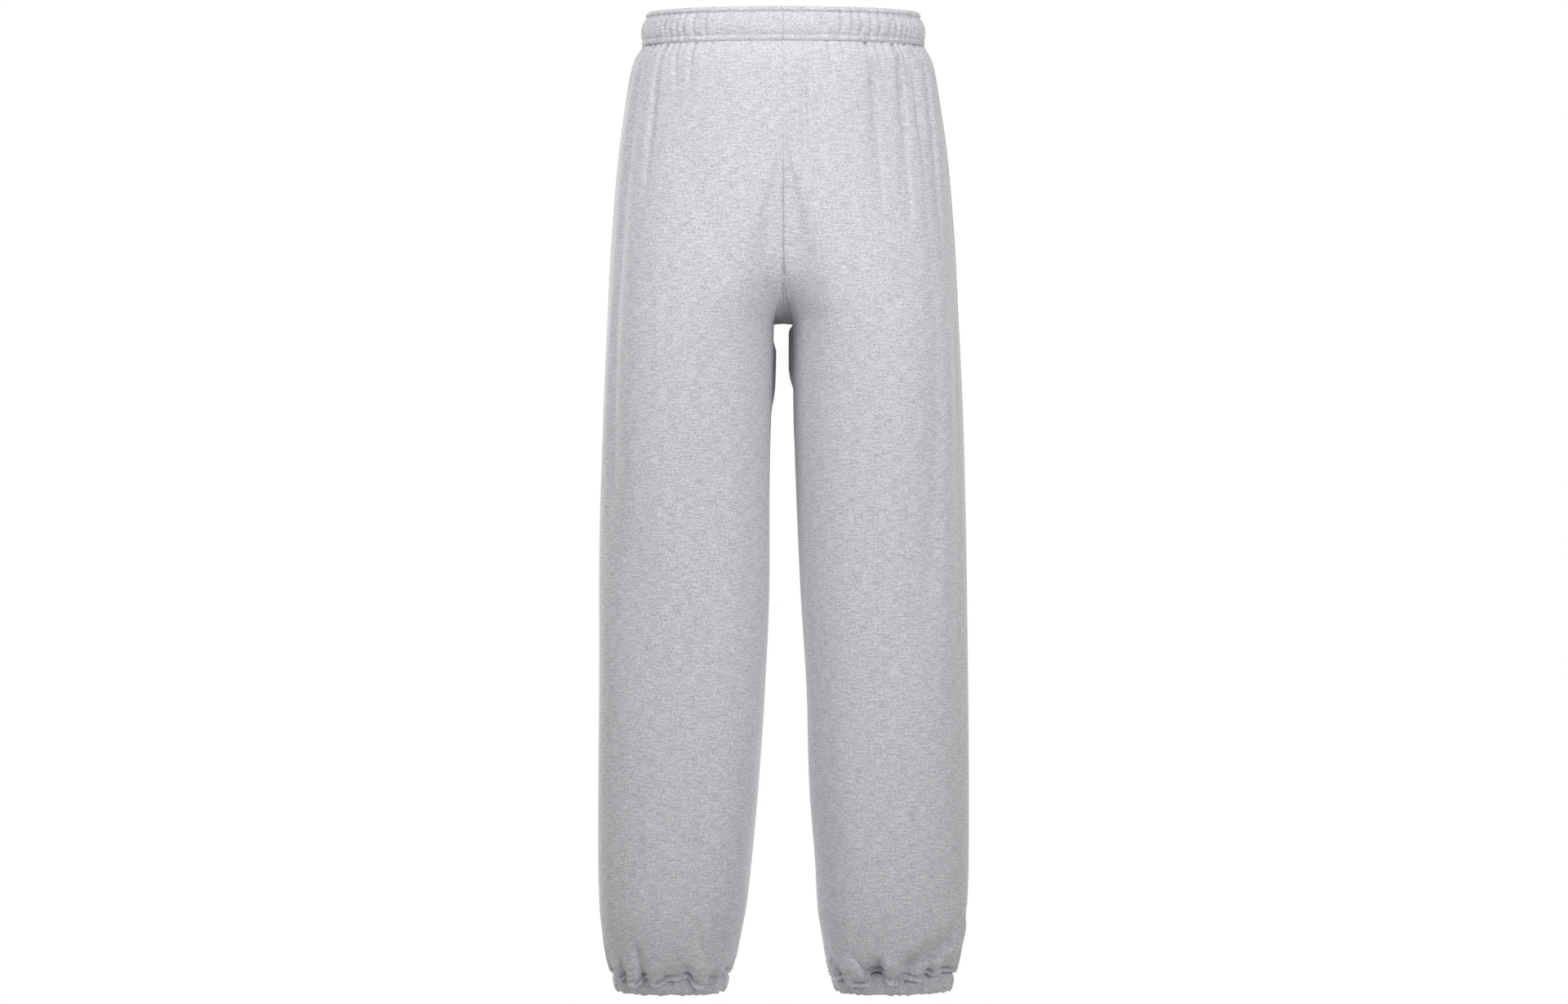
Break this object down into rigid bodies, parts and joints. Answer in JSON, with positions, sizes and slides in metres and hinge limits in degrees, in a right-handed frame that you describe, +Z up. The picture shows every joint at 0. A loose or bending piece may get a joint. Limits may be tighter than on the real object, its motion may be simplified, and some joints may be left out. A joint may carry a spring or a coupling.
{
  "type": "jogger sweatpants",
  "caption": "Loose heather fleece jogger sweatpants, filled out and hollow, with a gathered elastic waistband and narrow elastic cuffs.",
  "frame": {"origin": "middle of the waist opening, half way up the waistband, where the wearer holds the garment", "axes": "+Z up along the legs towards the waist, -Y towards the front, +X towards the wearer's left"},
  "size_m": [0.3924, 0.2744, 1.044],
  "materials": {
    "fleece": "matt grey heather fleece",
    "casing": "matt grey heather fleece, gathered on elastic",
    "thread": "matt grey sewing thread"
  },
  "bodies": {
    "root": {"front_left": "fleece", "front_right": "fleece", "back_left": "fleece", "back_right": "fleece", "waistband_left": "casing", "waistband_right": "casing", "cuff_left": "casing", "cuff_right": "casing"}
  },
  "joints": []
}
